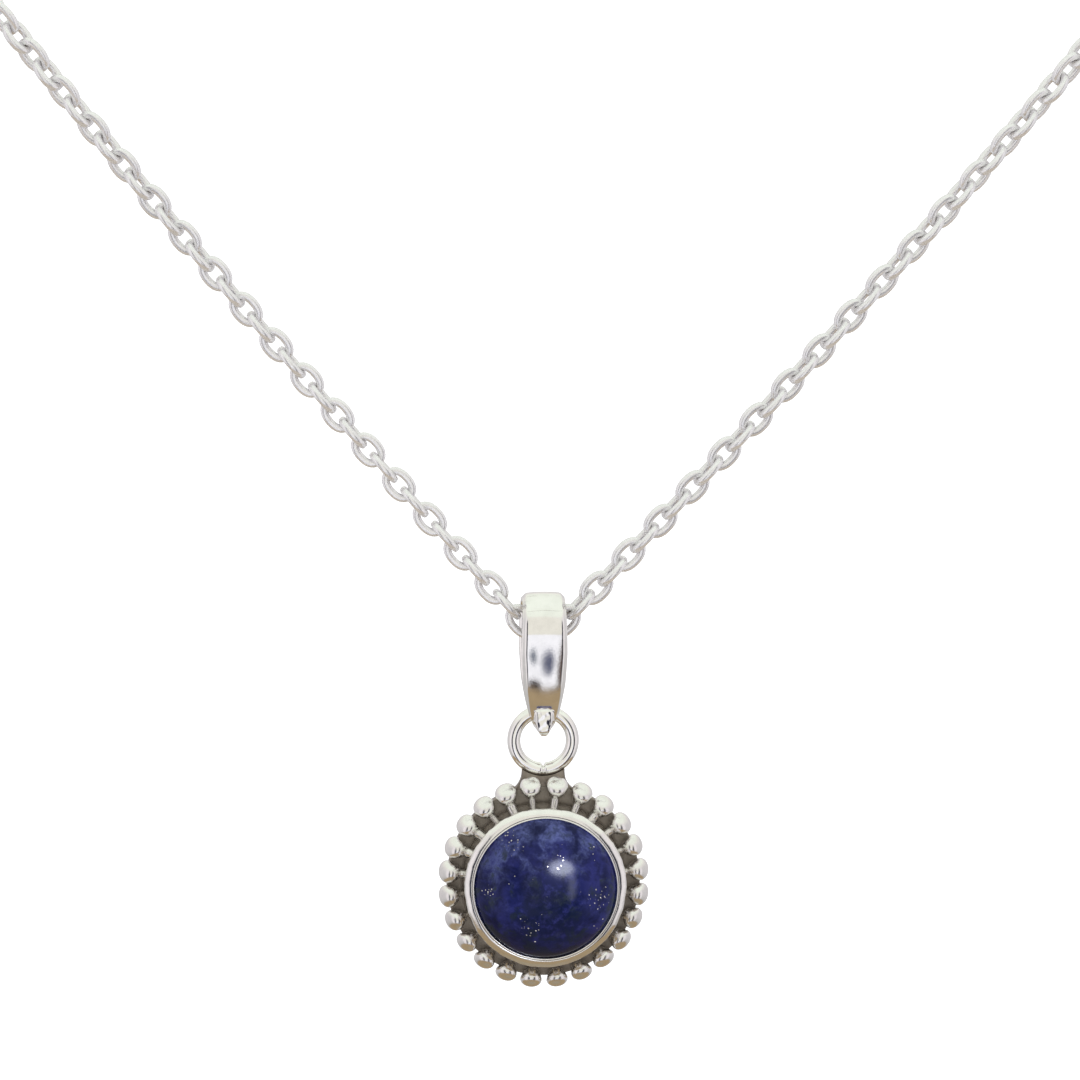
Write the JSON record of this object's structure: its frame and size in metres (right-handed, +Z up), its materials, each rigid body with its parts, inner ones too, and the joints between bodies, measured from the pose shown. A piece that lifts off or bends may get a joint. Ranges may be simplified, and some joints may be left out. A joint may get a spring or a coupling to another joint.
{
  "type": "pendant necklace",
  "caption": "Silver cable-chain necklace with a lobster clasp and a round blue cabochon pendant in a beaded border, hung from a tapered bail.",
  "frame": {"origin": "centre of the back plate's rear face", "axes": "+Z up along the hanging pendant; the pendant faces -Y; the chain goes round behind it towards +Y; +X is the wearer's left side of the picture plane, the viewer's right"},
  "size_m": [0.1301, 0.0854, 0.1195],
  "materials": {
    "polished_silver": "polished silver, roughness about 0.2",
    "chain_silver": "polished drawn silver wire, roughness about 0.28",
    "oxidised_silver": "silver oxidised dark in the recesses, roughness about 0.55",
    "lapis": "polished blue lapis with paler patches and gold flecks",
    "spring_steel": "plain spring steel"
  },
  "bodies": {
    "chain_centre": {"chain_centre_link": "chain_silver"},
    "bail": {"bail": "polished_silver"},
    "setting": {"pendant_ring": "polished_silver", "back_plate": "oxidised_silver", "beaded_border": "oxidised_silver", "bezel": "polished_silver", "stone": "lapis"},
    "left_pivot_link_1": {"left_pivot_link_1": "chain_silver"},
    "left_chain_run_1": {"left_chain_run_1": "chain_silver"},
    "left_pivot_link_2": {"left_pivot_link_2": "chain_silver"},
    "left_chain_run_2": {"left_chain_run_2": "chain_silver"},
    "left_pivot_link_3": {"left_pivot_link_3": "chain_silver"},
    "left_chain_run_3": {"left_chain_run_3": "chain_silver"},
    "left_pivot_link_4": {"left_pivot_link_4": "chain_silver"},
    "left_chain_run_4": {"left_chain_run_4": "chain_silver"},
    "left_pivot_link_5": {"left_pivot_link_5": "chain_silver"},
    "left_chain_run_5": {"left_chain_run_5": "chain_silver"},
    "left_pivot_link_6": {"left_pivot_link_6": "chain_silver"},
    "left_chain_run_6": {"left_chain_run_6": "chain_silver"},
    "clasp_ring": {"clasp_ring": "chain_silver"},
    "clasp": {"clasp_body": "polished_silver", "clasp_pin": "spring_steel", "clasp_spring": "spring_steel"},
    "clasp_lever": {"clasp_lever": "polished_silver"},
    "right_pivot_link_1": {"right_pivot_link_1": "chain_silver"},
    "right_chain_run_1": {"right_chain_run_1": "chain_silver"},
    "right_pivot_link_2": {"right_pivot_link_2": "chain_silver"},
    "right_chain_run_2": {"right_chain_run_2": "chain_silver"},
    "right_pivot_link_3": {"right_pivot_link_3": "chain_silver"},
    "right_chain_run_3": {"right_chain_run_3": "chain_silver"},
    "right_pivot_link_4": {"right_pivot_link_4": "chain_silver"},
    "right_chain_run_4": {"right_chain_run_4": "chain_silver"},
    "right_pivot_link_5": {"right_pivot_link_5": "chain_silver"},
    "right_chain_run_5": {"right_chain_run_5": "chain_silver"},
    "right_pivot_link_6": {"right_pivot_link_6": "chain_silver"},
    "right_chain_run_6": {"right_chain_run_6": "chain_silver"},
    "end_ring": {"end_ring": "chain_silver"}
  },
  "joints": [
    {"name": "bail_swing", "type": "hinge", "parent": "chain_centre", "child": "bail", "pos_m": [0, -0.0004, 0.0169], "axis": [-1, 0, 0], "range_deg": [-80, 80]},
    {"name": "setting_swing", "type": "hinge", "parent": "bail", "child": "setting", "pos_m": [0, -0.0004, 0.00925], "axis": [0, 1, 0], "range_deg": [-75, 75]},
    {"name": "left_link_1_pivot", "type": "hinge", "parent": "chain_centre", "child": "left_pivot_link_1", "pos_m": [-0.00103, -0.0004, 0.01675], "axis": [0, 1, 0], "range_deg": [-50, 5]},
    {"name": "left_run_1_pivot", "type": "hinge", "parent": "left_pivot_link_1", "child": "left_chain_run_1", "pos_m": [-0.00203, -0.0004, 0.01787], "axis": [-0.7449, 0.0001, -0.6672], "range_deg": [-30, 30]},
    {"name": "left_link_2_pivot", "type": "hinge", "parent": "left_chain_run_1", "child": "left_pivot_link_2", "pos_m": [-0.00898, -0.0004, 0.02574], "axis": [-0.0204, -0.9996, -0.0178], "range_deg": [-3, 55]},
    {"name": "left_run_2_pivot", "type": "hinge", "parent": "left_pivot_link_2", "child": "left_chain_run_2", "pos_m": [-0.00996, -0.0004, 0.02687], "axis": [0.754, -0.0356, 0.6559], "range_deg": [-55, 55]},
    {"name": "left_link_3_pivot", "type": "hinge", "parent": "left_chain_run_2", "child": "left_pivot_link_3", "pos_m": [-0.02256, -0.0004, 0.04175], "axis": [0.2087, 0.9625, 0.1731], "range_deg": [-55, 5]},
    {"name": "left_run_3_pivot", "type": "hinge", "parent": "left_pivot_link_3", "child": "left_chain_run_3", "pos_m": [-0.02352, -0.0004, 0.04291], "axis": [-0.7357, 0.2988, -0.6078], "range_deg": [-55, 55]},
    {"name": "left_link_4_pivot", "type": "hinge", "parent": "left_chain_run_3", "child": "left_pivot_link_4", "pos_m": [-0.04171, 0.00079, 0.06473], "axis": [-0.6983, -0.4888, -0.523], "range_deg": [-55, 55]},
    {"name": "left_run_4_pivot", "type": "hinge", "parent": "left_pivot_link_4", "child": "left_chain_run_4", "pos_m": [-0.04272, 0.00114, 0.06578], "axis": [0.198, -0.8609, 0.4686], "range_deg": [-55, 55]},
    {"name": "left_link_5_pivot", "type": "hinge", "parent": "left_chain_run_4", "child": "left_pivot_link_5", "pos_m": [-0.06172, 0.02379, 0.08693], "axis": [0.5698, -0.2514, 0.7824], "range_deg": [-55, 55]},
    {"name": "left_run_5_pivot", "type": "hinge", "parent": "left_pivot_link_5", "child": "left_chain_run_5", "pos_m": [-0.06201, 0.02511, 0.08758], "axis": [0.8111, 0.394, -0.4323], "range_deg": [-55, 55]},
    {"name": "left_link_6_pivot", "type": "hinge", "parent": "left_chain_run_5", "child": "left_pivot_link_6", "pos_m": [-0.04911, 0.06247, 0.10113], "axis": [-0.0265, 0.3297, -0.9437], "range_deg": [-55, 55]},
    {"name": "left_run_6_pivot", "type": "hinge", "parent": "left_pivot_link_6", "child": "left_chain_run_6", "pos_m": [-0.04803, 0.06345, 0.10145], "axis": [-0.6955, 0.6772, 0.24], "range_deg": [-55, 55]},
    {"name": "clasp_ring_pivot", "type": "hinge", "parent": "left_chain_run_6", "child": "clasp_ring", "pos_m": [-0.00821, 0.07656, 0.10854], "axis": [-0.1392, -0.0048, 0.9903], "range_deg": [-45, 45]},
    {"name": "clasp_swing", "type": "hinge", "parent": "clasp_ring", "child": "clasp", "pos_m": [-0.00628, 0.07657, 0.10881], "axis": [-0.0051, 1, 0.0042], "range_deg": [-60, 60]},
    {"name": "clasp_gate", "type": "hinge", "parent": "clasp", "child": "clasp_lever", "pos_m": [-0.00331, 0.07658, 0.10999], "axis": [-0.0051, 1, 0.0042], "range_deg": [0, 20], "stiffness_Nm_per_rad": 0.005, "springref_deg": -14.9, "deforming": ["clasp_spring"]},
    {"name": "right_link_1_pivot", "type": "hinge", "parent": "chain_centre", "child": "right_pivot_link_1", "pos_m": [0.00103, -0.0004, 0.01675], "axis": [0, -1, 0], "range_deg": [-50, 5]},
    {"name": "right_run_1_pivot", "type": "hinge", "parent": "right_pivot_link_1", "child": "right_chain_run_1", "pos_m": [0.00208, -0.0004, 0.01782], "axis": [-0.7095, -0.1392, 0.6909], "range_deg": [-30, 30]},
    {"name": "right_link_2_pivot", "type": "hinge", "parent": "right_chain_run_1", "child": "right_pivot_link_2", "pos_m": [0.00933, -0.0004, 0.02541], "axis": [-0.1171, 0.9869, 0.1107], "range_deg": [-3, 55]},
    {"name": "right_run_2_pivot", "type": "hinge", "parent": "right_pivot_link_2", "child": "right_chain_run_2", "pos_m": [0.01036, -0.0004, 0.0265], "axis": [0.7178, 0.1681, -0.6757], "range_deg": [-55, 55]},
    {"name": "right_link_3_pivot", "type": "hinge", "parent": "right_chain_run_2", "child": "right_pivot_link_3", "pos_m": [0.02351, -0.0004, 0.0409], "axis": [0.2668, -0.934, -0.2377], "range_deg": [-55, 5]},
    {"name": "right_run_3_pivot", "type": "hinge", "parent": "right_pivot_link_3", "child": "right_chain_run_3", "pos_m": [0.02451, -0.0004, 0.04203], "axis": [-0.6922, -0.3794, 0.614], "range_deg": [-55, 55]},
    {"name": "right_link_4_pivot", "type": "hinge", "parent": "right_chain_run_3", "child": "right_pivot_link_4", "pos_m": [0.04338, 0.00078, 0.06326], "axis": [-0.6792, 0.5002, 0.5371], "range_deg": [-55, 55]},
    {"name": "right_run_4_pivot", "type": "hinge", "parent": "right_pivot_link_4", "child": "right_chain_run_4", "pos_m": [0.04442, 0.00112, 0.06428], "axis": [0.1967, 0.8545, -0.4807], "range_deg": [-55, 55]},
    {"name": "right_link_5_pivot", "type": "hinge", "parent": "right_chain_run_4", "child": "right_pivot_link_5", "pos_m": [0.06441, 0.02352, 0.08485], "axis": [0.5764, 0.2185, -0.7874], "range_deg": [-55, 55]},
    {"name": "right_run_5_pivot", "type": "hinge", "parent": "right_pivot_link_5", "child": "right_chain_run_5", "pos_m": [0.06475, 0.02484, 0.08548], "axis": [0.7958, -0.4214, 0.435], "range_deg": [-55, 55]},
    {"name": "right_link_6_pivot", "type": "hinge", "parent": "right_chain_run_5", "child": "right_pivot_link_6", "pos_m": [0.05356, 0.06286, 0.09874], "axis": [-0.0433, -0.3259, 0.9444], "range_deg": [-55, 55]},
    {"name": "right_run_6_pivot", "type": "hinge", "parent": "right_pivot_link_6", "child": "right_chain_run_6", "pos_m": [0.05252, 0.06389, 0.09905], "axis": [-0.7242, -0.6464, -0.2402], "range_deg": [-55, 55]},
    {"name": "end_ring_pivot", "type": "hinge", "parent": "right_chain_run_6", "child": "end_ring", "pos_m": [0.01316, 0.07803, 0.1061], "axis": [-0.1392, 0.005, -0.9903], "range_deg": [-45, 45]}
  ]
}
